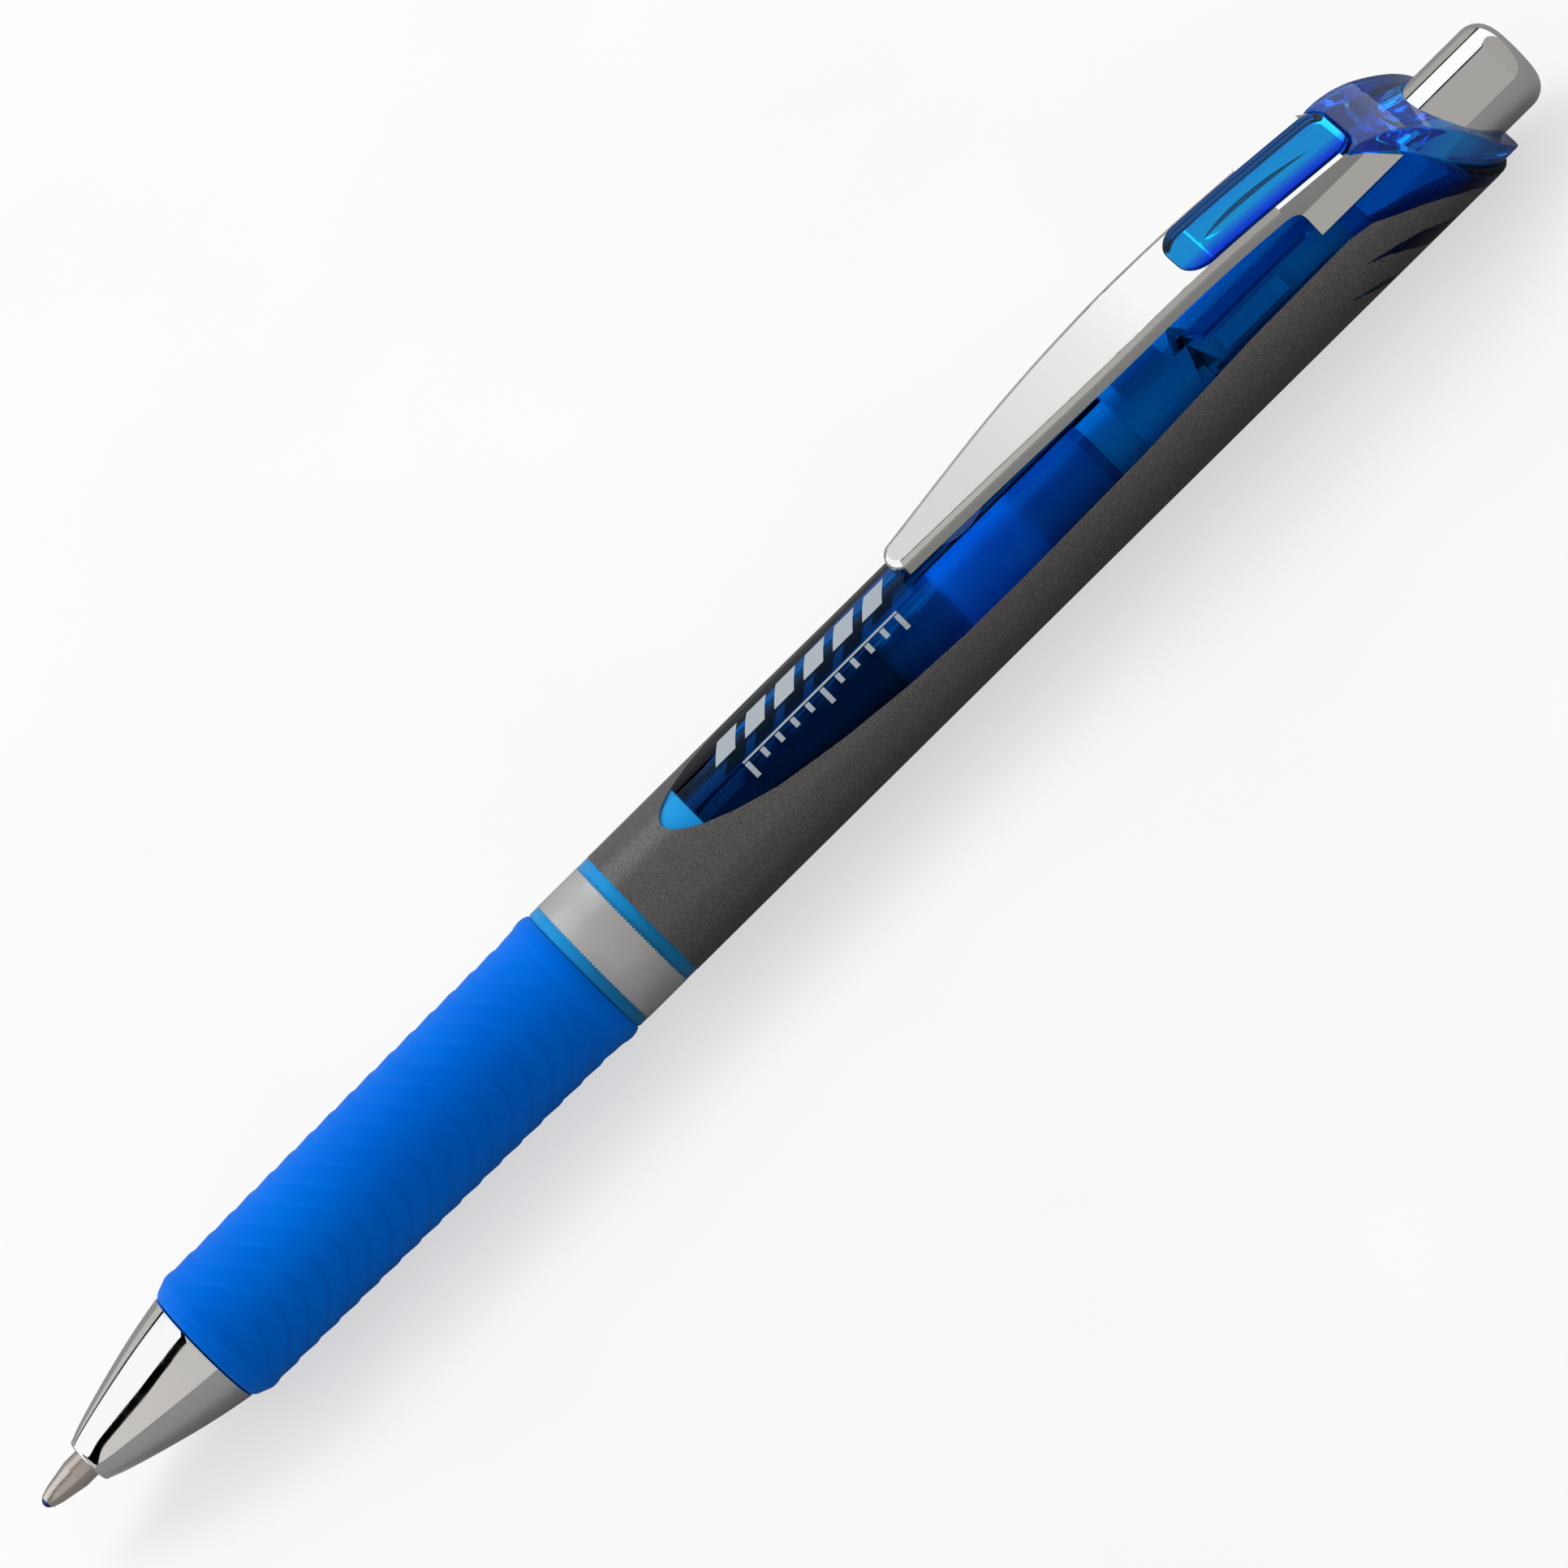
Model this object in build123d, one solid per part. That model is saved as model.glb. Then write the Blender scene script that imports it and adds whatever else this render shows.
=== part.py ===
from build123d import *
import math
import os

# Retractable gel pen, lying along X with its writing tip at -X and its clip up.
#
# Every piece is drawn about the pen's own axis, with stations counted along it from the front of the
# ball, and is then placed so that the model's origin is under the middle of the pen, on the surface
# it lies on. Sizes are millimetres. The pen is drawn in its writing position.

# Driving dimensions of the whole pen.
overall_length = 144.0
barrel_radius = 5.45
barrel_wall = 1.15
grip_lip_radius = 5.67
running_gap = 0.08
clip_gap = 0.15

# Stations along the axis, counted from the front of the ball.
nozzle_shoulder = 3.08
nose_front = 4.3
nose_rear = 15.72
nose_rear_radius = 4.74
grip_rear = 52.8
rim_on_axis = 135.7
rim_slope = 0.64

# The ball point.
ball_radius = 0.5
nozzle_radius = 1.15
nozzle_rear = 16.0
ink_channel_radius = 0.35

# The refill behind the ball point.
holder_front = 9.6
holder_front_radius = 1.5
holder_shoulder = 20.0
tube_radius = 3.0
tube_bore_radius = 2.35
tube_front = 25.2
tube_rear = 102.9
holder_rear = 28.0
ink_rear = 82.9
follower_rear = 89.0
plug_front = 96.6
plug_flange = 0.7

# The spring round the front of the refill.
spring_front = 8.45
spring_wire_radius = 0.2
spring_mean_radius = 1.95
spring_turns = 9.0

# Bores of the front end.
spring_bore_radius = 2.45
spring_bore_front = 8.3
spigot_front = 11.0
spigot_radius = 3.15
neck_radius = 4.2
neck_bore_radius = 3.3
neck_bore_front = 23.4
main_bore_front = 66.1

# The click mechanism.
cam_teeth = 8
tooth_height = 1.2
rotor_front = 103.65
rotor_body_front = 106.3
rotor_teeth_start = 111.8
rotor_radius = 3.5
rotor_skirt_radius = 2.9
rotor_bore_radius = 1.8
plunger_teeth_tips = 113.1
plunger_radius = 3.4
plunger_bore_radius = 2.3
guide_front = 113.4
guide_rear = 124.8
guide_inner_radius = 3.58
guide_rib_width = 0.9
key_radius = 4.15
key_width = 1.3

# The knock button and the end cap.
button_radius = 3.63
button_front = 128.1
button_wall = 0.53
button_end_fillet = 1.6
cap_tenon_front = 126.5
cap_ring_radius = 4.95
cap_head_gap = 0.1
cap_lip_gap = 0.25
cap_notch_gap = 0.15
cap_crown = [(130.3, 7.42), (131.9, 7.0), (133.4, 6.25), (135.3, 4.5), (136.9, 2.4), (138.1, 0.0), (139.7, -4.4),
             (139.95, -6.0)]
cap_side_lean = 15.5

# The clip.
clip_half_width = 3.03
clip_sheet = 0.5
clip_free_end = 87.55
clip_face = [(87.55, 7.75), (94.2, 8.3), (100.0, 8.7), (106.0, 8.92), (112.5, 9.0), (119.6, 8.7), (128.0, 7.8),
             (132.0, 7.3)]
clip_flange = 1.3
clip_pocket_wall = 0.4
clip_edge_fillet = 0.55
clip_rear_on_axis = 137.4
clip_rear_slope = 1.03
clip_wing_front = 124.9
clip_wing_fillet = 1.1
clip_wing_bottom = 4.5
clip_wing_half_width = 4.0
clip_nib = (90.2, 93.3, 96.4)
insert_half_width = 2.6
insert_front = 116.2
insert_rear = 130.9
insert_corner = 1.9
insert_rear_corner = 1.3
insert_depth = 0.95
insert_crown = 0.15


def cylinder(radius, start, end):
    """A round bar on the pen axis between two stations."""
    return Pos((start + end) / 2, 0, 0) * Rot(0, 90, 0) * Cylinder(radius, end - start)


def tube(outer, inner, start, end):
    """A round tube on the pen axis between two stations."""
    return cylinder(outer, start, end) - cylinder(inner, start - 1, end + 1)


def turned(*edges):
    """The solid made by turning a closed outline of (station, radius) edges about the pen axis."""
    return revolve(make_face(edges), Axis.X, 360)


def side_slab(edges, half_width):
    """A closed outline of (station, height) edges, thickened equally to both sides of the pen."""
    return Pos(0, half_width, 0) * extrude(Plane.XZ * make_face(edges), 2 * half_width)


def behind_plane(on_axis, slope):
    """A large block behind a slanted plane, which crosses the pen axis at a station."""
    corners = [(on_axis - slope * 20, 20), (200, 20), (200, -20), (on_axis + slope * 20, -20)]
    return side_slab([Polyline(*corners, close=True)], 20)


def behind_rim(offset):
    """A large block behind the plane that cuts off the barrel's rear end, moved back by offset."""
    return behind_plane(rim_on_axis + offset, rim_slope)


def behind_clip(offset):
    """A large block behind the plane where the clip meets the end cap, moved back by offset."""
    return behind_plane(clip_rear_on_axis + offset, clip_rear_slope)


def round_about(shape, count, first_angle=0.0):
    """Copies of a shape spaced evenly about the pen axis."""
    return [Rot(first_angle + i * 360 / count, 0, 0) * shape for i in range(count)]


def saw_teeth(tips, direction, inner, outer):
    """A ring of saw teeth on the pen axis; direction is +1 where the tips point to the button."""
    pitch = 2 * outer * math.tan(math.pi / cam_teeth)
    root = tips - direction * tooth_height
    buried = root - direction * 0.4
    low_side = [(buried, -pitch / 2), (root, -pitch / 2)]
    high_side = [(tips, pitch / 2), (buried, pitch / 2)]
    outline = Polyline(*low_side, *high_side, close=True)
    tooth = Pos(0, 0, inner) * extrude(make_face(outline), outer)
    ring = Part() + round_about(tooth, cam_teeth)
    low, high = sorted((buried, tips))
    return ring & tube(outer, inner, low, high)


def keys(start, end, radius, width, inner, first_angle):
    """Four straight keys that slide in the guide's grooves."""
    key = Pos((start + end) / 2, 0, (inner + radius) / 2) * Box(end - start, width, radius - inner)
    return (Part() + round_about(key, 4, first_angle)) & cylinder(radius, start, end)


def make_tip_ball():
    return Pos(ball_radius, 0, 0) * Sphere(ball_radius)


def make_tip_nozzle():
    lip = 0.32
    outline = [
        Spline((lip, 0.53), (1.16, 0.78), (2.3, 0.99), (nozzle_shoulder, nozzle_radius)),
        Polyline((nozzle_shoulder, nozzle_radius), (nozzle_rear, nozzle_radius), (nozzle_rear, ink_channel_radius),
                 (lip, ink_channel_radius), (lip, 0.53)),
    ]
    socket = Pos(ball_radius, 0, 0) * Sphere(ball_radius + 0.02)
    return turned(*outline) - socket


def make_tip_holder():
    shape = cylinder(holder_front_radius, holder_front, holder_shoulder + 0.5)
    shape += cylinder(tube_bore_radius, holder_shoulder, holder_rear)
    shape -= cylinder(nozzle_radius, holder_front - 1, nozzle_rear)
    return shape - cylinder(0.8, nozzle_rear - 1, holder_rear + 1)


def make_refill_tube():
    return tube(tube_radius, tube_bore_radius, tube_front, tube_rear)


def make_ink_column():
    return cylinder(tube_bore_radius, holder_rear, ink_rear)


def make_ink_follower():
    return cylinder(tube_bore_radius, ink_rear, follower_rear)


def make_refill_plug():
    shape = cylinder(tube_bore_radius, plug_front, tube_rear + plug_flange)
    shape += cylinder(tube_radius, tube_rear, tube_rear + plug_flange)
    return shape - cylinder(0.5, plug_front - 1, tube_rear + 2)


def make_return_spring():
    """Coil with its axis on the pen axis; both ends lie within the station range of the free length."""
    length = holder_shoulder - spring_front - 2 * spring_wire_radius - 0.1
    path = Helix(pitch=length / spring_turns, height=length, radius=spring_mean_radius)
    section = Plane(origin=path @ 0, z_dir=path % 0) * Circle(spring_wire_radius)
    coil = sweep(section, path, is_frenet=True)
    return Pos(spring_front + spring_wire_radius + 0.03, 0, 0) * Rot(0, 90, 0) * coil


def make_nose_cone():
    outer = [
        Spline((4.55, 1.79), (6.81, 2.6), (9.06, 3.25), (11.32, 3.87), (13.58, 4.35), (nose_rear, nose_rear_radius)),
        ThreePointArc((4.55, 1.79), (4.38, 1.7), (nose_front, 1.52)),
    ]
    hole = nozzle_radius + 0.1
    spigot_bore = spigot_radius + running_gap
    inner = Polyline((nose_rear, nose_rear_radius), (nose_rear, spigot_bore), (spigot_front - 0.1, spigot_bore),
                     (spigot_front - 0.1, spring_bore_radius), (spring_bore_front, spring_bore_radius),
                     (spring_bore_front, 1.7), (7.2, hole), (nose_front, hole), (nose_front, 1.52))
    return turned(*outer, inner)


def make_grip_sleeve():
    front = nose_rear + 0.05
    outer = [
        Polyline((front, nose_rear_radius), (front + 0.25, 4.96), (17.1, 5.36)),
        Spline((17.1, 5.36), (20.3, 5.32), (34.0, 5.41), (50.6, 5.48)),
        Spline((50.6, 5.48), (51.3, 5.53), (52.0, grip_lip_radius), (52.5, 5.62), (grip_rear, 5.42)),
    ]
    inner = Polyline((grip_rear, 5.42), (grip_rear, neck_radius), (front, neck_radius), (front, nose_rear_radius))
    return turned(*outer, inner)


def make_barrel():
    bore = barrel_radius - barrel_wall
    outline = Polyline(
        (spigot_front, spigot_radius), (nose_rear + 0.05, spigot_radius), (nose_rear + 0.05, neck_radius),
        (grip_rear, neck_radius), (grip_rear, barrel_radius - 0.15), (grip_rear + 0.15, barrel_radius),
        (145, barrel_radius), (145, bore), (main_bore_front, bore), (main_bore_front, neck_bore_radius),
        (neck_bore_front, neck_bore_radius), (neck_bore_front, spring_bore_radius),
        (spigot_front, spring_bore_radius), close=True)
    shape = turned(outline) - behind_rim(0)
    rim = shape.edges().filter_by(GeomType.ELLIPSE).sort_by(lambda e: e.length)[-1]
    shape = fillet(rim, 0.45)
    half = guide_rib_width / 2
    rib_front = [(guide_front, half), (guide_front + 0.8, -half)]
    rib_side = Polyline(*rib_front, (guide_rear, -half), (guide_rear, half), close=True)
    rib = Pos(0, 0, guide_inner_radius) * extrude(make_face(rib_side), bore + 0.3 - guide_inner_radius)
    return shape + round_about(rib, cam_teeth, 180 / cam_teeth)


def make_cam_rotor():
    shape = cylinder(rotor_skirt_radius, rotor_front, rotor_body_front + 0.5)
    shape += cylinder(rotor_radius, rotor_body_front, rotor_teeth_start)
    shape += keys(107.4, 111.4, key_radius, key_width, 3.0, 0)
    shape += saw_teeth(rotor_teeth_start + tooth_height, 1, rotor_bore_radius, rotor_radius)
    return shape - cylinder(rotor_bore_radius, 105.0, 115.0)


def make_knock_plunger():
    shape = cylinder(plunger_radius, plunger_teeth_tips + tooth_height, button_front - 0.1)
    shape += saw_teeth(plunger_teeth_tips, -1, plunger_bore_radius, plunger_radius)
    shape += keys(114.8, 120.9, key_radius, key_width, 3.0, 45)
    shape += cylinder(button_radius - button_wall, button_front - 0.5, 139.0)
    return shape - cylinder(plunger_bore_radius, 112.0, 137.5)


def make_knock_button():
    inner = button_radius - button_wall
    shell = cylinder(button_radius, button_front, overall_length)
    shell = fillet(shell.edges().filter_by(GeomType.CIRCLE).sort_by(Axis.X)[-1], button_end_fillet)
    hollow = cylinder(inner, button_front - 1, overall_length - 0.8)
    hollow = fillet(hollow.edges().filter_by(GeomType.CIRCLE).sort_by(Axis.X)[-1], 1.2)
    return shell - hollow


def cap_section():
    """Cross-section of the cap's head: a circle with a narrower raised part towards the clip."""
    angle = math.radians(cap_side_lean)
    foot = (cap_ring_radius * math.cos(angle), cap_ring_radius * math.sin(angle))
    top = 7.6
    top_half_width = foot[0] - (top - foot[1]) * math.tan(angle)
    left = [(-foot[0], foot[1]), (-top_half_width, top)]
    right = [(top_half_width, top), foot]
    shape = make_face(Polyline(*left, *right, close=True))
    shape = fillet(shape.vertices().sort_by(Axis.Y)[-2:], 1.0)
    return shape + Circle(cap_ring_radius)


def make_end_cap():
    top = cap_crown[0][1]
    crown = [Spline(*cap_crown), Polyline(cap_crown[-1], (120, cap_crown[-1][1]), (120, top), cap_crown[0])]
    head = Pos(128, 0, 0) * extrude(Plane.YZ * cap_section(), 14)
    head = head & side_slab(crown, 8)
    lip = (head & behind_clip(cap_lip_gap)) - cylinder(barrel_radius + cap_head_gap, 120, 145)
    bore = barrel_radius - barrel_wall
    tenon = cylinder(bore - 0.05, cap_tenon_front, 139.0) - behind_rim(cap_head_gap + 0.3)
    shape = (head & behind_rim(cap_head_gap)) + lip + tenon
    shape -= insert_block(1.0, cap_notch_gap)
    return shape - cylinder(button_radius + running_gap, 120, 150)


def clip_outline():
    """Half-width of the clip at stations from its free end to its root."""
    return [(88.3, 1.3), (94.2, 1.9), (99.8, 2.45), (105.5, 2.84), (111.0, clip_half_width)]


def clip_plan(inset):
    """Plan view of the clip, with its edge moved in by inset."""
    side = [(x, y - inset) for x, y in clip_outline()]
    front = clip_free_end + inset
    first = side[0]
    last = side[-1]
    right = [(x, -y) for x, y in side]
    edges = [
        ThreePointArc((first[0], -first[1]), (front, 0), first),
        Spline(*side),
        Line(last, (134, last[1])),
        Line((134, last[1]), (134, -last[1])),
        Line((134, -last[1]), right[-1]),
        Spline(*right),
    ]
    return make_face(edges)


def below_face(drop):
    """Side view of everything under the clip's outer face, lowered by drop."""
    face = [(x, z - drop) for x, z in clip_face]
    first = face[0]
    last = face[-1]
    return side_slab([Spline(*face), Polyline(last, (136, last[1]), (136, 2), (first[0], 2), first)], 6)


def upper_edges(shape):
    """The edges round the clip's outer face, from root to root round the free end."""
    rim = [e for e in shape.edges() if e.center().Z > 7 and abs(e.center().Y) > 0.5]
    long_edges = [e for e in rim if e.bounding_box().size.X > 1]
    tip = [e for e in shape.edges() if e.center().X < 89 and e.center().Z > 7]
    return long_edges + [e for e in tip if e.bounding_box().size.Y > 1]


def make_clip():
    channel = extrude(clip_plan(0), 12) & below_face(0)
    channel = fillet(upper_edges(channel), clip_edge_fillet)
    channel -= below_face(clip_flange)
    hollow = extrude(clip_plan(clip_sheet), 12) & below_face(clip_sheet)
    channel -= hollow - insert_block(1.0, clip_pocket_wall)
    channel -= Pos(142, 0, 5) * Box(20, 20, 20)
    front, middle, rear = clip_nib
    nib = side_slab([ThreePointArc((front, 7.4), (middle, barrel_radius + 0.1), (rear, 7.8)),
                     Polyline((rear, 7.8), (rear, 8.0), (front, 7.6), (front, 7.4))], 1.1)
    shape = channel + clip_root() + nib
    shape -= behind_clip(0)
    return shape - insert_block(1.0, 0)


def clip_root():
    """The clip's solid rear end, whose wings reach down both sides of the barrel."""
    left = [(-clip_wing_half_width, clip_wing_bottom), (-clip_half_width, 6.3), (-clip_half_width, 10)]
    right = [(-y, z) for y, z in reversed(left)]
    wings = make_face(Polyline(*left, *right, close=True))
    rounding = clip_wing_fillet
    start = clip_wing_front - rounding
    under = 6.95
    middle = rounding * math.sqrt(0.5)
    side = [
        ThreePointArc((start, under), (start + middle, under - rounding + middle), (clip_wing_front, under - rounding)),
        Polyline((clip_wing_front, under - rounding), (clip_wing_front, 3), (134, 3), (134, 10), (start, 10),
                 (start, under)),
    ]
    root = Pos(start, 0, 0) * extrude(Plane.YZ * wings, 10)
    root = root & side_slab(side, 6) & below_face(0)
    return root - cylinder(barrel_radius + clip_gap, 120, 140)


def insert_block(crown, clearance):
    """The clip insert, standing proud of the clip's face by crown, and larger all round by clearance."""
    wide = insert_half_width + clearance
    front = insert_front - clearance
    rear = insert_rear + clearance
    plan = make_face(Polyline((front, -wide), (rear, -wide), (rear, wide), (front, wide), close=True))
    corners = plan.vertices().sort_by(Axis.X)
    plan = fillet(corners[:2], insert_corner)
    plan = fillet(plan.vertices().sort_by(Axis.X)[-2:], insert_rear_corner)
    block = extrude(plan, 12) & below_face(-crown)
    return block - below_face(insert_depth + clearance)


def make_clip_insert():
    return insert_block(insert_crown, 0)


nodes = {
    "barrel": make_barrel,
    "grip_sleeve": make_grip_sleeve,
    "nose_cone": make_nose_cone,
    "end_cap": make_end_cap,
    "clip": make_clip,
    "clip_insert": make_clip_insert,
    "knock_button": make_knock_button,
    "knock_plunger": make_knock_plunger,
    "cam_rotor": make_cam_rotor,
    "refill_tube": make_refill_tube,
    "refill_plug": make_refill_plug,
    "ink_column": make_ink_column,
    "ink_follower": make_ink_follower,
    "tip_holder": make_tip_holder,
    "tip_nozzle": make_tip_nozzle,
    "tip_ball": make_tip_ball,
    "return_spring": make_return_spring,
}

os.makedirs("parts", exist_ok=True)
place = Pos(-overall_length / 2, 0, grip_lip_radius)
for name, make in nodes.items():
    export_step(place * make(), f"parts/{name}.step")
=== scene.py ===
import math

import bpy
from mathutils import Matrix, Vector


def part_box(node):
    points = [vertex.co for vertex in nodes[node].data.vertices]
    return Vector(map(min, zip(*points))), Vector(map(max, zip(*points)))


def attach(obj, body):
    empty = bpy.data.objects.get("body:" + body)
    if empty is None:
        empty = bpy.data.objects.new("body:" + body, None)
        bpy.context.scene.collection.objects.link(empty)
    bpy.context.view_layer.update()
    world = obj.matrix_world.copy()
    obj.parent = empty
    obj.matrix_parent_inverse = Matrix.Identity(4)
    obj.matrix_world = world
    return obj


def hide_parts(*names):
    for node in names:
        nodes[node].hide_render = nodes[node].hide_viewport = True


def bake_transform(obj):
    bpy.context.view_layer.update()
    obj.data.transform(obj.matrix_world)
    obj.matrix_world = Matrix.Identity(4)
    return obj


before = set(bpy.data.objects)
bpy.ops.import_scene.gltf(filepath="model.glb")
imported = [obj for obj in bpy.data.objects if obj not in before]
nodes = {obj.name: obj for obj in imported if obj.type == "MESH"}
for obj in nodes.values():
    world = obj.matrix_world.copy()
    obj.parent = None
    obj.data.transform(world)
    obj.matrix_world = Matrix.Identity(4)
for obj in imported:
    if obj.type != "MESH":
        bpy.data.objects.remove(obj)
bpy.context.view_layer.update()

# The pen's own measures, in millimetres, with stations counted from the front of the ball. The window's
# middle is in degrees round the barrel from the clip. The lifts are how far coat and print stand off it.
MM = 0.001
BARREL_RADIUS = 5.45
RIM_ON_AXIS = 135.7
RIM_SLOPE = 0.64
GRIP_FRONT = 15.8
GRIP_REAR = 52.8
BAND = (53.7, 57.6)
RING_REAR = 58.6
NOSE_REAR = 15.7
BUTTON_RADIUS = 3.63
BUTTON_FRONT = 128.1
BUTTON_END = 144.0
WINDOW_MIDDLE = 6.0
COAT_LIFT = 0.012
BAND_LIFT = 0.014
PRINT_LIFT = 0.016
TIP_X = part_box("knock_button")[1].x - BUTTON_END * MM
AXIS_Z = sum(corner.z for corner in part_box("knock_button")) / 2

# The view: how far the camera stands up from level, the station it stands over, and how the pen is turned in
# the picture.
CAMERA_RISE = math.radians(46.0)
CAMERA_DISTANCE = 0.643
CAMERA_FOOT = 71.9
CAMERA_LENS = 212.2
CAMERA_SHIFT = 0.00054
PICTURE_TURN = math.radians(44.7)

# The studio: how bright its panel is along the pen, how bright its walls are at the tip's end and at the
# button's end, and the walls' tint.
PANEL_LIGHT = [(-1.0, 1.15), (-0.35, 1.12), (-0.12, 0.8), (0.0, 0.95), (0.08, 1.18), (1.0, 1.2)]
WALL_LEFT = 0.72
WALL_RIGHT = 0.41
WALL_TINT = (1.03, 0.985, 0.94)


# ---------------------------------------------------------------- geometry helpers

def at(station, radius, angle=0.0):
    """Point at a station and radius; angle, in degrees, is counted from the clip towards -Y."""
    turn = math.radians(angle)
    side = -radius * math.sin(turn) * MM
    return Vector((TIP_X + station * MM, side, AXIS_Z + radius * math.cos(turn) * MM))


def smooth_line(points, spans=6):
    """Points along a Catmull-Rom curve through the given ones."""
    line = []
    last = len(points) - 1
    for i in range(last):
        a = points[max(i - 1, 0)]
        b = points[i]
        c = points[i + 1]
        d = points[min(i + 2, last)]
        for k in range(spans):
            t = k / spans
            line.append(tuple(
                0.5 * (2 * q + (r - p) * t
                       + (2 * p - 5 * q + 4 * r - s) * t * t
                       + (3 * q - p - 3 * r + s) * t ** 3)
                for p, q, r, s in zip(a, b, c, d)))
    line.append(tuple(points[-1]))
    return line


def arc(centre, radius, first, last, count):
    """Points on a circle in (station, radius) space, between two angles in degrees."""
    steps = [math.radians(first + (last - first) * i / count) for i in range(count + 1)]
    return [(centre[0] + radius * math.cos(a), centre[1] + radius * math.sin(a)) for a in steps]


def interpolate(table, x):
    """Straight-line value between the rows of a table of (x, value)."""
    if x <= table[0][0]:
        return table[0][1]
    for (x0, y0), (x1, y1) in zip(table, table[1:]):
        if x <= x1:
            return y0 + (y1 - y0) * (x - x0) / (x1 - x0)
    return table[-1][1]


def make_piece(name, points, faces, material, body, sharp=35.0):
    """A smooth-shaded mesh object that rides on a body, or on none when no body is given."""
    mesh = bpy.data.meshes.new(name)
    mesh.from_pydata([tuple(p) for p in points], [], faces)
    mesh.validate()
    mesh.materials.append(material)
    mesh.shade_smooth()
    mesh.set_sharp_from_angle(angle=math.radians(sharp))
    piece = bpy.data.objects.new(name, mesh)
    bpy.context.scene.collection.objects.link(piece)
    if body:
        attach(piece, body)
    return piece


def grid_faces(rows, columns, wrap_rows=False, wrap_columns=False):
    """Quads over a grid of rows times columns points, stored row by row."""
    faces = []
    for i in range(rows if wrap_rows else rows - 1):
        for j in range(columns if wrap_columns else columns - 1):
            i2 = (i + 1) % rows
            j2 = (j + 1) % columns
            faces.append((i * columns + j, i * columns + j2, i2 * columns + j2, i2 * columns + j))
    return faces


def lathe(name, outline, material, body, segments):
    """A closed (station, radius) outline turned about the pen axis."""
    points = [at(s, r, 360.0 * j / segments) for s, r in outline for j in range(segments)]
    faces = grid_faces(len(outline), segments, wrap_rows=True, wrap_columns=True)
    return make_piece(name, points, faces, material, body)


def rim_station(angle):
    """Where the slanted rear rim lies at an angle round the barrel."""
    return RIM_ON_AXIS - RIM_SLOPE * BARREL_RADIUS * math.cos(math.radians(angle))


# ---------------------------------------------------------------- materials

def new_material(name):
    """An empty node material, its node tree and its output node."""
    material = bpy.data.materials.new(name)
    material.use_nodes = True
    tree = material.node_tree
    tree.nodes.clear()
    output = tree.nodes.new("ShaderNodeOutputMaterial")
    return material, tree, output


def shader(tree, **sockets):
    """A Principled shader with the given socket values."""
    node = tree.nodes.new("ShaderNodeBsdfPrincipled")
    for key, value in sockets.items():
        node.inputs[key.replace("_", " ")].default_value = value
    return node


def mixed(tree, share, first, second):
    """Two shaders mixed; share is a number or a socket, and 1 shows only the second."""
    mix = tree.nodes.new("ShaderNodeMixShader")
    if isinstance(share, float):
        mix.inputs["Fac"].default_value = share
    else:
        tree.links.new(share, mix.inputs["Fac"])
    tree.links.new(first, mix.inputs[1])
    tree.links.new(second, mix.inputs[2])
    return mix.outputs["Shader"]


def ray_kind(tree, kind):
    """1 for rays of one kind, such as "Is Camera Ray", and 0 for the others."""
    return tree.nodes.new("ShaderNodeLightPath").outputs[kind]


def lit_through(tree, surface, colour):
    """The surface to the eye, but plain tinted glass to the light that falls through it."""
    passing = tree.nodes.new("ShaderNodeBsdfTransparent")
    passing.inputs["Color"].default_value = (*colour, 1)
    return mixed(tree, ray_kind(tree, "Is Shadow Ray"), surface, passing.outputs["BSDF"])


def place_pattern(tree, scale):
    """Object coordinates, stretched by scale, for patterns at their real size."""
    coordinates = tree.nodes.new("ShaderNodeTexCoord")
    mapping = tree.nodes.new("ShaderNodeMapping")
    mapping.inputs["Scale"].default_value = scale
    tree.links.new(coordinates.outputs["Object"], mapping.inputs["Vector"])
    return mapping.outputs["Vector"]


def place_along(tree, axis):
    """The object coordinate along X, Y or Z."""
    coordinates = tree.nodes.new("ShaderNodeTexCoord")
    parts = tree.nodes.new("ShaderNodeSeparateXYZ")
    tree.links.new(coordinates.outputs["Object"], parts.inputs["Vector"])
    return parts.outputs[axis]


def noise(tree, scale, stretch=(1, 1, 1), detail=3.0, roughness=0.5):
    """Cloudy noise with a given number of waves to the metre."""
    node = tree.nodes.new("ShaderNodeTexNoise")
    node.inputs["Scale"].default_value = scale
    node.inputs["Detail"].default_value = detail
    node.inputs["Roughness"].default_value = roughness
    tree.links.new(place_pattern(tree, stretch), node.inputs["Vector"])
    return node.outputs["Fac"]


def ramp(tree, value, low, high, start=0.3, end=0.7):
    """The value mapped to numbers or colours between low and high."""
    node = tree.nodes.new("ShaderNodeValToRGB")
    as_colour = [c if isinstance(c, tuple) else (c, c, c) for c in (low, high)]
    for stop, place, colour in zip(node.color_ramp.elements, (start, end), as_colour):
        stop.position = place
        stop.color = (*colour, 1.0)
    tree.links.new(value, node.inputs["Fac"])
    return node.outputs["Color"]


def spread(tree, value, rows, low, high):
    """The value turned into colours by rows of (place, colour), with places between low and high."""
    span = tree.nodes.new("ShaderNodeMapRange")
    span.inputs["From Min"].default_value = low
    span.inputs["From Max"].default_value = high
    tree.links.new(value, span.inputs["Value"])
    node = tree.nodes.new("ShaderNodeValToRGB")
    stops = node.color_ramp.elements
    while len(stops) < len(rows):
        stops.new(0.5)
    for stop, (place, colour) in zip(stops, rows):
        stop.position = (place - low) / (high - low)
        stop.color = (*colour, 1.0)
    tree.links.new(span.outputs["Result"], node.inputs["Fac"])
    return node.outputs["Color"]


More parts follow.
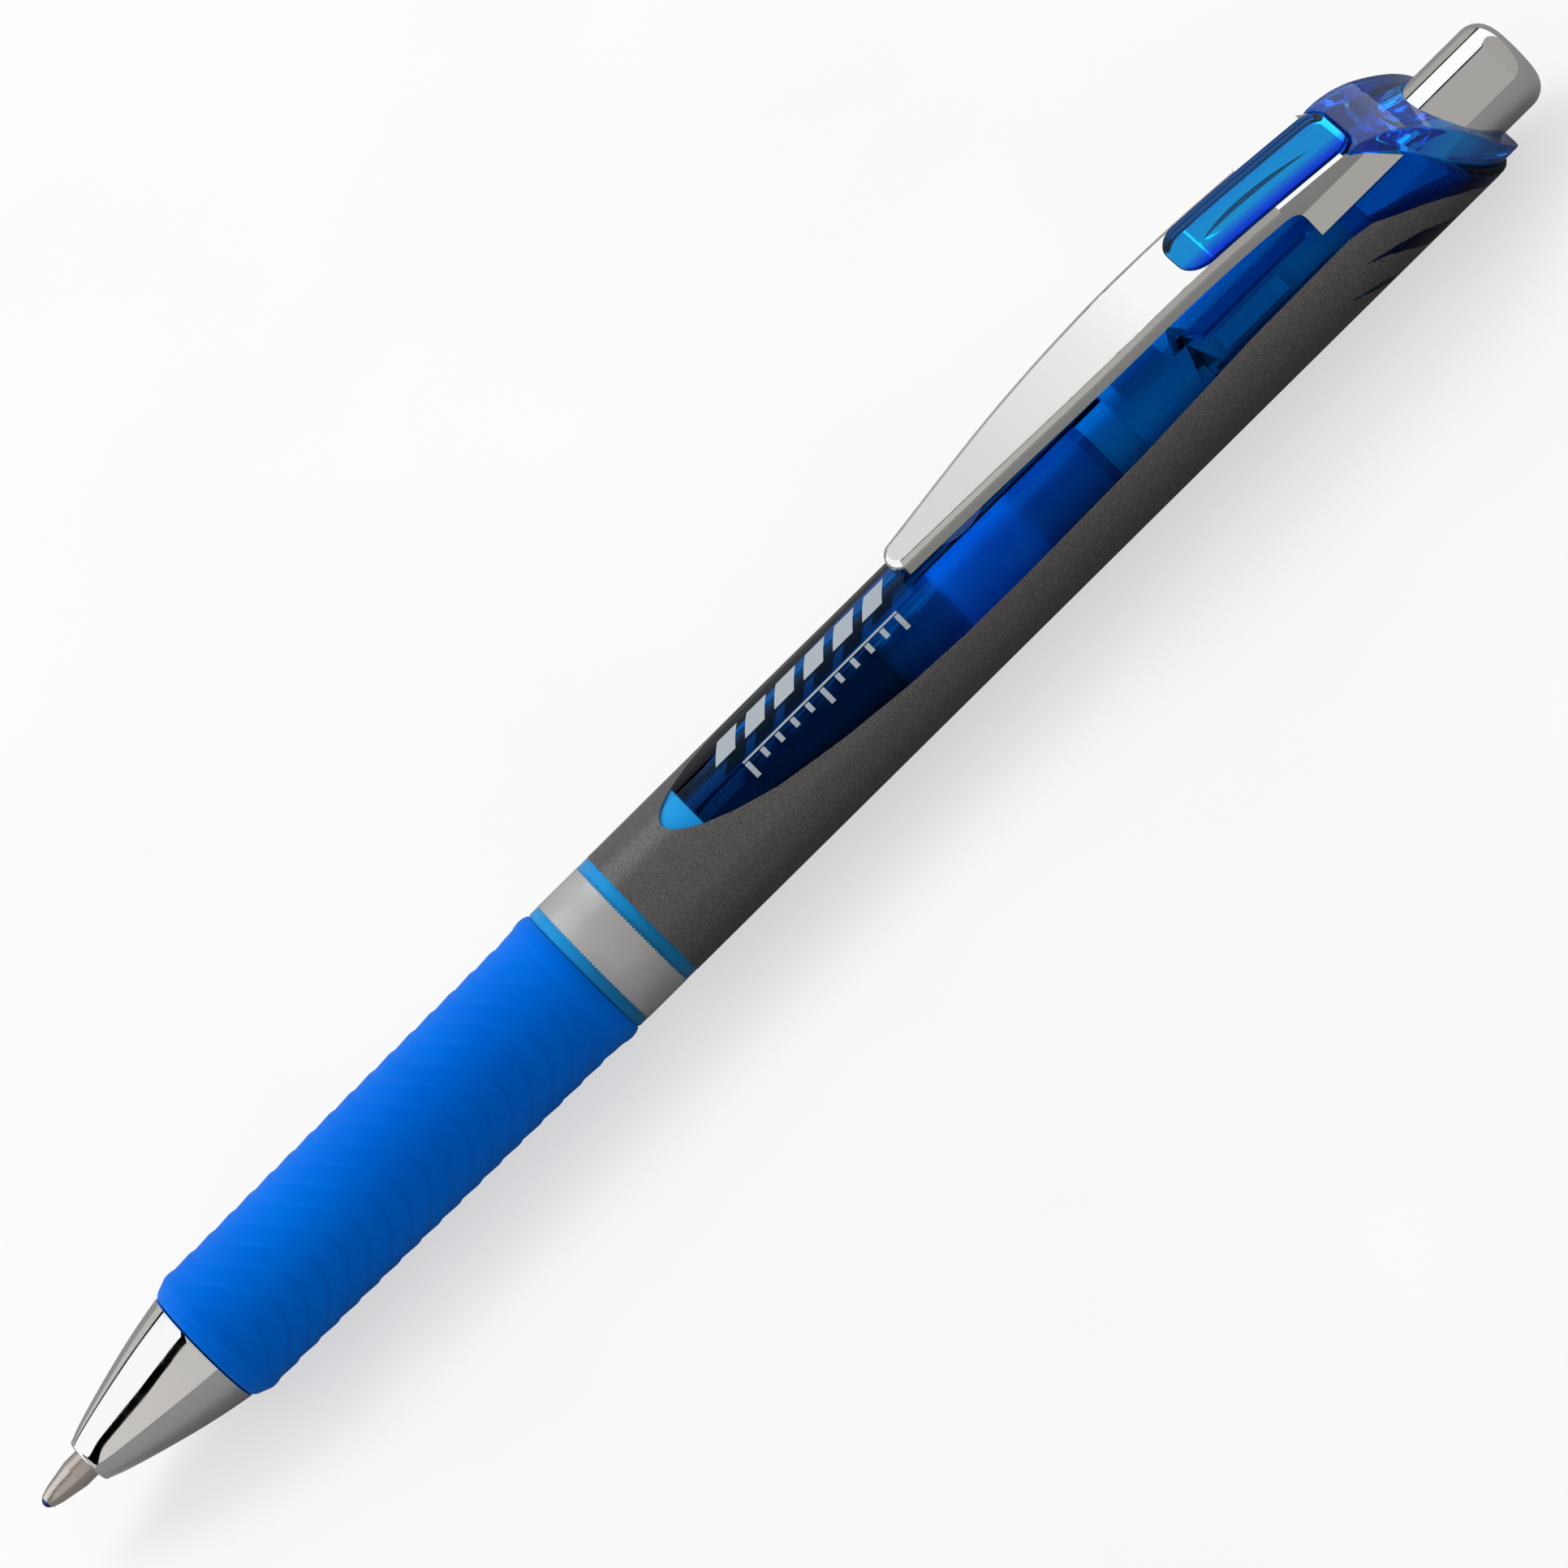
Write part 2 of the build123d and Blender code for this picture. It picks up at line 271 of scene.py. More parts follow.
def by_station(tree, rows):
    """Colours that change along the pen, from rows of (station, colour or number)."""
    coloured = [(TIP_X + s * MM, c if isinstance(c, tuple) else (c, c, c)) for s, c in rows]
    return spread(tree, place_along(tree, "X"), coloured, TIP_X, TIP_X + BUTTON_END * MM)


def bump(tree, height, strength, distance):
    """A relief with the given strength and depth in metres."""
    node = tree.nodes.new("ShaderNodeBump")
    node.inputs["Strength"].default_value = strength
    node.inputs["Distance"].default_value = distance
    tree.links.new(height, node.inputs["Height"])
    return node.outputs["Normal"]


def chrome(name, colour=(0.82, 0.83, 0.84), low=0.03, high=0.09, grain=(1, 1, 1)):
    """Polished plate with faint haze and hairline scratches."""
    material, tree, output = new_material(name)
    metal = shader(tree, Base_Color=(*colour, 1), Metallic=1.0)
    haze = noise(tree, 900.0, grain, 4.0)
    tree.links.new(ramp(tree, haze, low, high), metal.inputs["Roughness"])
    tree.links.new(bump(tree, noise(tree, 260.0, grain, 2.0), 0.006, 0.00002), metal.inputs["Normal"])
    tree.links.new(metal.outputs["BSDF"], output.inputs["Surface"])
    return material


def clear_plastic(name, tint, lamp_tint, absorb=None, ior=1.5, high=0.03, gloss=(1, 1, 1), coat=0.0,
                  milk=None):
    """Tinted transparent moulding: refracting to the eye, deeper where it is thick, and lit through.

    absorb is a colour and a density, high is the most roughness, gloss is the tint of its reflections, and
    milk is a share and a colour of light scattered at its skin."""
    material, tree, output = new_material(name)
    body = shader(tree, Transmission_Weight=1.0, IOR=ior, Specular_Tint=(*gloss, 1), Coat_Weight=coat)
    deep = tuple(c * 0.9 for c in tint)
    tree.links.new(ramp(tree, noise(tree, 60.0), deep, tint), body.inputs["Base Color"])
    tree.links.new(ramp(tree, noise(tree, 400.0), 0.0, high), body.inputs["Roughness"])
    tree.links.new(bump(tree, noise(tree, 220.0), 0.02, 0.00002), body.inputs["Normal"])
    surface = body.outputs["BSDF"]
    if milk:
        haze = shader(tree, Base_Color=(*milk[1], 1), Roughness=0.6, Specular_IOR_Level=0.1)
        surface = mixed(tree, milk[0], surface, haze.outputs["BSDF"])
    tree.links.new(lit_through(tree, surface, lamp_tint), output.inputs["Surface"])
    if absorb:
        volume = tree.nodes.new("ShaderNodeVolumeAbsorption")
        volume.inputs["Color"].default_value = (*absorb[0], 1)
        volume.inputs["Density"].default_value = absorb[1]
        tree.links.new(volume.outputs["Volume"], output.inputs["Volume"])
    return material


def solid_plastic(name, low_colour, high_colour, rough=(0.25, 0.4), scale=300.0, **sockets):
    """Opaque moulding with slight colour drift, uneven gloss and a faint moulded skin."""
    material, tree, output = new_material(name)
    body = shader(tree, **sockets)
    tree.links.new(ramp(tree, noise(tree, scale * 0.3), low_colour, high_colour), body.inputs["Base Color"])
    tree.links.new(ramp(tree, noise(tree, scale), rough[0], rough[1]), body.inputs["Roughness"])
    tree.links.new(bump(tree, noise(tree, scale * 4), 0.05, 0.00003), body.inputs["Normal"])
    tree.links.new(body.outputs["BSDF"], output.inputs["Surface"])
    return material


def coat_paint():
    """Sprayed metallic grey coat with very fine flakes; from inside it shows painted light and shade, set by
    station.
    """
    dark_flake = (0.06, 0.058, 0.06)
    bright_flake = (0.26, 0.255, 0.257)
    material, tree, output = new_material("metallic_coat")
    paint = shader(tree, Metallic=0.7, Coat_Weight=0.3, Coat_Roughness=0.25)
    flakes = noise(tree, 14000.0, detail=1.5, roughness=0.7)
    tree.links.new(ramp(tree, flakes, dark_flake, bright_flake, 0.33, 0.7), paint.inputs["Base Color"])
    tree.links.new(ramp(tree, noise(tree, 7000.0, detail=1.0), 0.27, 0.43), paint.inputs["Roughness"])
    tree.links.new(bump(tree, flakes, 0.25, 0.00001), paint.inputs["Normal"])
    inside = shader(tree, Roughness=0.8, Specular_IOR_Level=0.1)
    # Painted light and shade: the inner face's colour, set by station, stands in for how lit the inside of
    # the barrel is.
    tree.links.new(by_station(tree, COAT_INSIDE_PAINTED_SHADING), inside.inputs["Base Color"])
    side = tree.nodes.new("ShaderNodeNewGeometry")
    both = mixed(tree, side.outputs["Backfacing"], paint.outputs["BSDF"], inside.outputs["BSDF"])
    tree.links.new(both, output.inputs["Surface"])
    return material


def frosted_tube():
    """Refill tube: clear where it is wetted by the ink, milky where it is dry."""
    haze_rows = [(82.9, 0.02), (83.6, 0.12), (88.8, 0.16), (89.6, 0.3)]
    dry_rows = [(82.9, 0.0), (83.6, 0.04), (88.8, 0.1), (89.4, 0.6), (96.5, 0.6), (97.1, 0.25)]
    material, tree, output = new_material("refill_tube_plastic")
    wet = shader(tree, Transmission_Weight=1.0, IOR=1.4, Specular_Tint=(0.2, 0.22, 0.25, 1))
    wet_colour = ramp(tree, noise(tree, 80.0), (0.9, 0.94, 0.97), (0.95, 0.97, 0.98))
    tree.links.new(wet_colour, wet.inputs["Base Color"])
    tree.links.new(by_station(tree, haze_rows), wet.inputs["Roughness"])
    dry = shader(tree, Roughness=0.5, Subsurface_Weight=0.5, Subsurface_Scale=0.001)
    dry_colour = ramp(tree, noise(tree, 500.0), (0.3, 0.5, 0.85), (0.4, 0.62, 0.95))
    tree.links.new(dry_colour, dry.inputs["Base Color"])
    wall = mixed(tree, by_station(tree, dry_rows), wet.outputs["BSDF"], dry.outputs["BSDF"])
    tree.links.new(lit_through(tree, wall, (0.8, 0.86, 0.92)), output.inputs["Surface"])
    return material


def rubber():
    """Frosted translucent blue rubber."""
    material, tree, output = new_material("frosted_rubber")
    skin = shader(tree, Subsurface_Weight=0.4, Subsurface_Scale=0.001, Specular_IOR_Level=0.12,
                  Specular_Tint=(0.0, 0.35, 1.0, 1))
    skin.inputs["Subsurface Radius"].default_value = (0.05, 0.4, 1.0)
    cloud = noise(tree, 120.0)
    tree.links.new(ramp(tree, cloud, (0.0, 0.17, 0.86), (0.0, 0.2, 0.95)), skin.inputs["Base Color"])
    tree.links.new(ramp(tree, noise(tree, 1500.0), 0.36, 0.5), skin.inputs["Roughness"])
    tree.links.new(bump(tree, noise(tree, 6000.0, detail=2.0), 0.1, 0.00002), skin.inputs["Normal"])
    tree.links.new(skin.outputs["BSDF"], output.inputs["Surface"])
    return material


def insert_plastic_painted_shade():
    """Clear cyan moulding, deeper in its thick walls by absorption, with painted shade: deep blue over the
    half towards -Y, the side turned from the light, and a little deeper at the +Y edge.
    """
    material = clear_plastic("insert_clear_blue_painted_shade", (0.05, 0.95, 1.0), (0.2, 0.85, 1.0),
                             ((0.0, 0.8, 0.955), 1300.0), 1.45, gloss=BLUE_GLOSS)
    tree = material.node_tree
    body = next(node for node in tree.nodes if node.type == "BSDF_PRINCIPLED")
    # Painted shade: the base colour runs deep blue over the half towards -Y, turned from the light.
    across = [(-2.57, (0.01, 0.1, 0.8)), (-1.9, (0.01, 0.12, 0.85)), (-1.4, (0.01, 0.2, 0.88)),
              (-1.0, (0.02, 0.66, 0.85)), (1.9, (0.02, 0.7, 0.85)), (2.3, (0.02, 0.5, 0.95)),
              (2.57, (0.02, 0.5, 0.95))]
    rows = [(place * MM, colour) for place, colour in across]
    colour = spread(tree, place_along(tree, "Y"), rows, -3 * MM, 3 * MM)
    tree.links.new(colour, body.inputs["Base Color"])
    return material


# The barrel's clear blue, and the painted light and shade that its coat's inner face shows through the wall,
# by station: light up to station 66, near black along the ink, dim blue-grey behind.
BLUE_ABSORB = ((0.0, 0.8, 0.992), 2200.0)
BLUE_GLOSS = (0.05, 0.25, 0.6)
COAT_INSIDE_PAINTED_SHADING = [(60.0, (0.3, 0.45, 0.6)), (66.0, (0.3, 0.45, 0.6)), (66.3, (0.002, 0.006, 0.02)),
               (88.0, (0.003, 0.01, 0.03)), (90.0, (0.02, 0.05, 0.09)), (131.0, (0.02, 0.05, 0.09))]

mat_chrome = chrome("chrome_plate")
mat_clip = chrome("clip_chrome", (0.79, 0.8, 0.79), 0.05, 0.11)
mat_barrel = clear_plastic("barrel_clear_blue", (0.3, 0.86, 1.0), (0.35, 0.85, 1.0), BLUE_ABSORB, 1.4,
                           gloss=BLUE_GLOSS)
mat_cap = clear_plastic("cap_clear_blue", (0.35, 0.85, 1.0), (0.3, 0.7, 1.0),
                        ((0.0, 0.8, 0.985), 1200.0), 1.45, gloss=(0.8, 0.9, 1.0), coat=0.35,
                        milk=(0.07, (0.06, 0.3, 0.95)))
mat_insert = insert_plastic_painted_shade()
mat_tube = frosted_tube()
mat_follower = clear_plastic("follower_grease", (0.35, 0.5, 0.8), (0.6, 0.7, 0.9), ior=1.4, high=0.2)
mat_ink = solid_plastic("blue_ink", (0.001, 0.002, 0.02), (0.002, 0.004, 0.035), (0.08, 0.2),
                        Specular_IOR_Level=0.05)
mat_plug = solid_plastic("plug_plastic", (0.03, 0.13, 0.3), (0.04, 0.17, 0.38))
mat_natural = solid_plastic("natural_plastic", (0.55, 0.65, 0.7), (0.63, 0.74, 0.78), (0.2, 0.35),
                            Subsurface_Weight=0.3, Subsurface_Scale=0.001)
# Painted light: a pale blue sheet inside the front wall, standing in for light piped through the thick
# plastic.
mat_wall_glow = solid_plastic("front_wall_painted_glow", (0.25, 0.55, 0.8), (0.3, 0.62, 0.88), (0.4, 0.6),
                         Subsurface_Weight=0.5, Subsurface_Scale=0.002)
mat_coat = coat_paint()
mat_rubber = rubber()
mat_point = chrome("point_metal", (0.6, 0.55, 0.51), 0.2, 0.32, (1, 6, 6))
mat_ball = chrome("ball_metal", (0.03, 0.05, 0.3), 0.05, 0.15)
mat_spring = chrome("spring_wire", (0.55, 0.55, 0.56), 0.15, 0.3)
mat_band = solid_plastic("band_print", (0.54, 0.55, 0.56), (0.64, 0.65, 0.66), (0.4, 0.52), 900.0,
                         Metallic=0.6)
mat_print = solid_plastic("white_print", (0.4, 0.46, 0.53), (0.47, 0.53, 0.58), (0.35, 0.5))


# ---------------------------------------------------------------- pieces

def build_nose():
    """Plated cone with a rolled front lip and a square rear edge."""
    profile = [(4.62, 1.86), (5.9, 2.34), (8.4, 3.08), (11.3, 3.84), (13.6, 4.35), (15.55, 4.71)]
    lip = arc((4.62, 1.58), 0.28, 180, 95, 6)
    outer = lip + smooth_line(profile, 9) + [(NOSE_REAR - 0.04, 4.72), (NOSE_REAR, 4.66)]
    inner = [(NOSE_REAR, 3.23), (10.9, 3.23), (10.9, 2.45), (8.3, 2.45), (8.3, 1.7), (7.2, 1.25),
             (4.34, 1.25)]
    piece = lathe("nose_cone_plated", outer + inner, mat_chrome, "nose_cone", 200)
    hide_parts("nose_cone")


def build_point():
    """Turned metal point with its tapered mouth round the ball."""
    cone = smooth_line([(0.34, 0.52), (0.6, 0.62), (1.16, 0.79), (2.3, 1.0), (3.05, 1.14)], 5)
    shank = [(3.12, 1.15), (16.0, 1.15), (16.0, 0.35), (0.95, 0.35), (0.52, 0.515), (0.36, 0.49)]
    piece = lathe("point_turned", cone + shank, mat_point, "refill", 96)
    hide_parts("tip_nozzle")


def grip_radius(station):
    """Radius of the sleeve over its ridges, with its rounded front and the lip at its rear."""
    front = [(GRIP_FRONT, 4.74), (16.05, 4.95), (16.6, 5.16), (17.1, 5.35), (17.3, 5.37)]
    body = [(20.3, 5.33), (34.0, 5.42), (50.3, 5.48), (50.9, 5.49)]
    lip = [(51.3, 5.53), (51.65, 5.62), (52.05, 5.655), (52.45, 5.6), (52.7, 5.5), (GRIP_REAR, 5.42)]
    return interpolate(front + body + lip, station)


def build_grip():
    """Sleeve with fine saw-tooth ridges that wave twice round it, between mould lines on its two flanks."""
    columns = 288
    pitch = 1.97
    wave = 2.1
    flank = 58.0
    depth = 0.1
    rise = 0.84
    ridges_start = 17.3
    ridges_end = 50.6
    fading = 0.8
    lip_start = 50.9
    bore = 4.22
    stations = [GRIP_FRONT + 0.11 * i for i in range(14)]
    stations += [ridges_start + 0.105 * i for i in range(320)]
    stations += [lip_start + (GRIP_REAR - lip_start) * i / 18 for i in range(19)]
    points = []
    for station in stations:
        inside = min(station - ridges_start, ridges_end - station)
        fade = min(1.0, max(0.0, inside / fading))
        for j in range(columns):
            angle = 360.0 * j / columns
            swing = wave * math.cos(math.radians(2.0 * (angle - flank)))
            phase = ((station - swing) / pitch) % 1.0
            tooth = phase / rise if phase < rise else (1.0 - phase) / (1.0 - rise)
            points.append(at(station, grip_radius(station) - fade * depth * (1.0 - tooth), angle))
    for station in (GRIP_REAR, GRIP_FRONT):
        points += [at(station, bore, 360.0 * j / columns) for j in range(columns)]
    faces = grid_faces(len(stations) + 2, columns, wrap_rows=True, wrap_columns=True)
    piece = make_piece("grip_grooved", points, faces, mat_rubber, "barrel", 60)
    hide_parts("grip_sleeve")


def build_button():
    """Plated cap with a rounded edge and a nearly flat end."""
    edge = 1.7
    corner = (BUTTON_END - 0.1 - edge, BUTTON_RADIUS - edge)
    outer = [(BUTTON_FRONT, 3.55), (BUTTON_FRONT + 0.08, BUTTON_RADIUS), (corner[0] - 0.1, BUTTON_RADIUS)]
    outer += arc(corner, edge, 90, 12, 12)
    outer += [(BUTTON_END - 0.06, 1.5), (BUTTON_END - 0.02, 0.8), (BUTTON_END, 0.02)]
    inner = [(143.2, 0.02), (143.2, 2.4), (142.4, 3.1), (BUTTON_FRONT, 3.1)]
    piece = lathe("button_plated", outer + inner, mat_chrome, "knock", 200)
    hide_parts("knock_button")


def window_half_angle(station):
    """Half of the clear window's width in degrees, at a station."""
    opening = [(63.8, 0), (64.1, 8), (64.7, 14), (65.4, 19), (66.1, 23), (68.2, 32), (71.6, 42), (77.2, 51),
               (82.9, 57), (88.0, 59.6), (94.0, 60), (105.5, 58), (116.7, 52.8), (126.0, 51.8), (128.0, 55),
               (129.7, 64), (131.4, 73), (133.0, 84)]
    return interpolate(opening, station)


def inside_outline(x, y, outline):
    """Whether a point lies inside a closed outline."""
    inside = False
    for (x0, y0), (x1, y1) in zip(outline, outline[1:] + outline[:1]):
        if (y0 > y) != (y1 > y) and x < x0 + (x1 - x0) * (y - y0) / (y1 - y0):
            inside = not inside
    return inside


def build_coat():
    """Painted coat with a long clear window open towards the rear rim, and clear streaks on both flanks."""
    radius = BARREL_RADIUS + COAT_LIFT
    columns = 330
    rear_rows = 24
    window_tip = 63.8
    window_round = 66.1
    streaks_start = 122.8
    window_end = 133.0
    rim_gap = 0.55
    wide_streak = [(125.6, 81), (128.0, 88.5), (130.3, 97.5), (132.6, 118), (133.6, 134), (132.0, 131),
                   (130.0, 119), (128.6, 101), (127.3, 90)]
    thin_streak = [(123.3, 98), (124.6, 103), (126.3, 112), (127.6, 125), (126.4, 122), (124.8, 109)]
    stations = [RING_REAR + 0.4 * i for i in range(13)]
    stations += [window_tip + (window_round - window_tip) * (i / 14) ** 2 for i in range(15)]
    stations += [window_round + (streaks_start - window_round) * i / 140 for i in range(1, 141)]
    stations += [streaks_start + (window_end - streaks_start) * i / 90 for i in range(1, 91)]
    points = []
    for station in stations:
        half = window_half_angle(station)
        for j in range(columns + 1):
            angle = WINDOW_MIDDLE + half + (360.0 - 2 * half) * j / columns
            points.append(at(station, radius, angle))
    rear_edge = [(84, window_end), (100, 134.8), (120, 136.2), (140, 138.0), (180, 139.0)]
    half = window_half_angle(window_end)
    for i in range(1, rear_rows + 1):
        for j in range(columns + 1):
            away = half + (360.0 - 2 * half) * j / columns
            angle = WINDOW_MIDDLE + away
            end = min(interpolate(rear_edge, min(away, 360.0 - away)), rim_station(angle) - rim_gap)
            points.append(at(window_end + (end - window_end) * i / rear_rows, radius, angle))
    faces = []
    for face in grid_faces(len(stations) + rear_rows, columns + 1):
        middle = sum((points[k] for k in face), Vector()) / 4
        station = (middle.x - TIP_X) / MM
        away = abs(math.degrees(math.atan2(middle.y, middle.z - AXIS_Z)))
        if not any(inside_outline(station, away, streak) for streak in (wide_streak, thin_streak)):
            faces.append(face)
    make_piece("metallic_coat", points, faces, mat_coat, "barrel", 60)


def build_spring():
    """Coil between the nose's seat and the refill's shoulder."""
    turns = 9.0
    around = 10
    wire = 0.2 * MM
    mean_radius = 1.95 * MM
    front, rear = (corner.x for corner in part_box("return_spring"))
    steps = int(turns * 40)
    points = []
    for i in range(steps + 1):
        turn = 2 * math.pi * turns * i / steps
        middle = front + wire + (rear - front - 2 * wire) * i / steps
        for j in range(around):
            lean = 2 * math.pi * j / around
            radius = mean_radius + wire * math.cos(lean)
            points.append(Vector((middle + wire * math.sin(lean), -radius * math.sin(turn),
                                  AXIS_Z + radius * math.cos(turn))))
    faces = grid_faces(steps + 1, around, wrap_columns=True)
    faces += [tuple(range(around - 1, -1, -1)), tuple(range(len(points) - around, len(points)))]
    piece = make_piece("return_spring_coil", points, faces, mat_spring, None)
    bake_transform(piece)
    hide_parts("return_spring")


def build_front_wall_glow():
    """A pale blue sheet just under the barrel's skin: painted light that stands in for light piped through
    its thick front wall.
    """
    outline = [(52.9, 5.12), (52.95, 5.2), (66.0, 5.2), (66.08, 5.1), (66.08, 4.7), (52.9, 4.7)]
    lathe("front_wall_glow_sheet", outline, mat_wall_glow, "barrel", 120)


def build_band():
    """Printed silver ring with finely serrated edges."""
    radius = BARREL_RADIUS + BAND_LIFT
    teeth = 120
    tooth = 0.14
    plain = 0.3
    points = []
    for j in range(2 * teeth):
        bite = tooth if j % 2 else 0.0
        stations = (BAND[0] + bite, BAND[0] + plain, BAND[1] - plain, BAND[1] - bite)
        points += [at(station, radius, 180.0 * j / teeth) for station in stations]
    faces = grid_faces(2 * teeth, 4, wrap_rows=True)
    make_piece("silver_band", points, faces, mat_band, "barrel", 60)


def flat_mark(points, faces, first, last, low, high, slant=0.0):
    """A printed bar between two stations and two angles, added to points and faces."""
    steps = 4
    start = len(points)
    for i in range(steps + 1):
        share = i / steps
        angle = low + (high - low) * share
        points += [at(s - slant * (share - 0.5), BARREL_RADIUS + PRINT_LIFT, angle) for s in (first, last)]
    faces += [(start + 2 * i, start + 2 * i + 1, start + 2 * i + 3, start + 2 * i + 2) for i in range(steps)]


def build_print():
    """Plain slanted bars and a level scale printed on the window."""
    points = []
    faces = []
    for i in range(6):
        bar = 70.0 + 2.85 * i
        flat_mark(points, faces, bar, bar + 1.9, -17.0, 3.0, slant=1.3)
    first_tick = 70.9
    tick_pitch = 1.45
    tick_width = 0.4
    for i in range(11):
        tick = first_tick + tick_pitch * i
        flat_mark(points, faces, tick, tick + tick_width, 19.0, 27.0 if i % 5 else 33.0)
    flat_mark(points, faces, first_tick, first_tick + 10 * tick_pitch + tick_width, 16.2, 18.0)
    make_piece("window_scale", points, faces, mat_print, "barrel", 60)


def clip_face_height(station):
    """Height of the clip's outer face above the pen axis."""
    face = [(112.5, 9.0), (116.2, 8.89), (119.6, 8.7), (124.0, 8.28), (128.0, 7.8), (131.0, 7.43)]
    return interpolate(smooth_line(face, 4), station)


def rounded_end(distance, radius):
    """How much a rounded corner takes off the width, at a distance from the end."""
    if distance >= radius:
        return 0.0
    return radius - math.sqrt(max(0.0, radius ** 2 - (radius - distance) ** 2))


def insert_section(station, front, rear):
    """The insert's section at a station, as (y, height) points, with its hollow and slots cut from below."""
    wide = 2.57
    edge = 0.28
    foot = 0.06
    proud = 0.13
    depth = 0.93
    crown = 0.02
    hollow = 0.17
    hollow_front = 118.9
    hollow_length = 9.2
    hollow_half = 0.72
    slots = (118.5, 129.3)
    slot_half = 0.09
    slot_depth = 0.08
    half = wide - max(rounded_end(station - front, 1.9), rounded_end(rear - station, 1.3))
    drop = max(rounded_end(station - front, 0.35), rounded_end(rear - station, 0.5)) * 0.8
    top = clip_face_height(station) + proud - drop
    base = clip_face_height(station) - depth
    share = (station - hollow_front) / hollow_length
    oval = hollow_half * math.sin(math.pi * share ** 0.8) ** 0.75 if 0.0 < share < 1.0 else 0.0
    slot = slot_depth if any(abs(station - place) < slot_half for place in slots) else 0.0
    under = [(-half + foot, base), (-oval - 0.07, base + slot)]
    under += [(-oval * out, base + slot + hollow * oval * (1.0 - out ** 2)) for out in (0.95, 0.8, 0.6, 0.35)]
    under += [(0.0, base + slot + hollow * oval)]
    right = [(half, base + foot)]
    right += [(half - edge + edge * math.cos(a), top - edge + edge * math.sin(a))
              for a in [math.radians(15 * k) for k in range(7)]]
    right += [(half * 0.55, top + 0.6 * crown), (0.0, top + crown)]
    mirrored = [(-y, z) for y, z in reversed(under[:-1])]
    left = [(-y, z) for y, z in reversed(right[:-1])]
    return under + mirrored + right + left


def build_insert():
    """Clear bar set in the clip, with an oval hollow and two thin slots moulded into its underside."""
    front = 116.23
    rear = 130.88
    near_front = [front + 0.02 * i * i for i in range(11)]
    middle = [front + 2.1 + 0.2 * i for i in range(55)]
    near_rear = [rear - 0.014 * i * i for i in range(10, -1, -1)]
    rows = [(station, insert_section(station, front, rear)) for station in near_front + middle + near_rear]
    points = [Vector((TIP_X + x * MM, y * MM, AXIS_Z + z * MM)) for x, loop in rows for y, z in loop]
    count = len(rows[0][1])
    faces = grid_faces(len(rows), count, wrap_columns=True)
    faces += [tuple(range(count - 1, -1, -1)), tuple(range(len(points) - count, len(points)))]
    piece = make_piece("clip_insert_moulded", points, faces, mat_insert, "clip", 40)
    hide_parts("clip_insert")


def build_cap():
    """The end cap's CAD shape with its moulded edges softened."""
    grain = 0.09 * MM
    mesh = nodes["end_cap"].data.copy()
    mesh.name = "end_cap_moulded"
    mesh.materials.clear()
    mesh.materials.append(mat_cap)
    piece = bpy.data.objects.new("end_cap_moulded", mesh)
    bpy.context.scene.collection.objects.link(piece)
    remesh = piece.modifiers.new("remesh", "REMESH")
    remesh.mode = "VOXEL"
    remesh.voxel_size = grain
    smooth = piece.modifiers.new("soften", "SMOOTH")
    smooth.factor = 0.5
    smooth.iterations = 9
    evaluated = piece.evaluated_get(bpy.context.evaluated_depsgraph_get())
    finished = bpy.data.meshes.new_from_object(evaluated)
    piece.modifiers.clear()
    piece.data = finished
    finished.shade_smooth()
    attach(piece, "barrel")
    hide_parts("end_cap")


def paint_cad(names, material):
    """Gives carried-over CAD nodes their finished material."""
    for name in names:
        mesh = nodes[name].data
        mesh.shade_smooth()
        mesh.set_sharp_from_angle(angle=math.radians(32))
        mesh.materials.clear()
        mesh.materials.append(material)


build_nose()
build_point()
build_grip()
build_button()
build_coat()
build_spring()
build_front_wall_glow()
build_band()
build_print()
build_insert()
build_cap()
paint_cad(["barrel"], mat_barrel)
paint_cad(["clip"], mat_clip)
paint_cad(["knock_plunger", "cam_rotor", "tip_holder"], mat_natural)
paint_cad(["refill_tube"], mat_tube)
paint_cad(["refill_plug"], mat_plug)
paint_cad(["ink_column"], mat_ink)
paint_cad(["ink_follower"], mat_follower)
paint_cad(["tip_ball"], mat_ball)


# ---------------------------------------------------------------- floor, light and camera

def build_floor():
    """Pale floor with soft shadows, which throws back less light than it shows, as under a small tent."""
    size = 3.0
    gap = 0.2 * MM
    mesh = bpy.data.meshes.new("floor")
    corners = [(-size, -size), (size, -size), (size, size), (-size, size)]
    mesh.from_pydata([(x, y, -gap) for x, y in corners], [], [(0, 1, 2, 3)])
    material, tree, output = new_material("floor_paper")
    shown = shader(tree, Roughness=0.9, Specular_IOR_Level=0.2, Emission_Color=(1, 1, 1, 1),
                   Emission_Strength=0.6)
    tree.links.new(ramp(tree, noise(tree, 30.0), 0.4, 0.43), shown.inputs["Base Color"])
    mirrored = shader(tree, Base_Color=(0.32, 0.32, 0.32, 1), Roughness=0.9)
    surface = mixed(tree, ray_kind(tree, "Is Camera Ray"), mirrored.outputs["BSDF"], shown.outputs["BSDF"])
    tree.links.new(surface, output.inputs["Surface"])
    mesh.materials.append(material)
    floor = bpy.data.objects.new("floor", mesh)
    bpy.context.scene.collection.objects.link(floor)


def area_light(name, place, target, size, power):
    """A soft lamp that lights the pen but doesn't show in its plating."""
    light = bpy.data.lights.new(name, "AREA")
    light.shape = "RECTANGLE"
    light.size = size[0]
    light.size_y = size[1]
    light.energy = power
    lamp = bpy.data.objects.new(name, light)
    lamp.location = place
    lamp.rotation_euler = (Vector(target) - Vector(place)).to_track_quat("-Z", "Y").to_euler()
    lamp.visible_glossy = False
    bpy.context.scene.collection.objects.link(lamp)


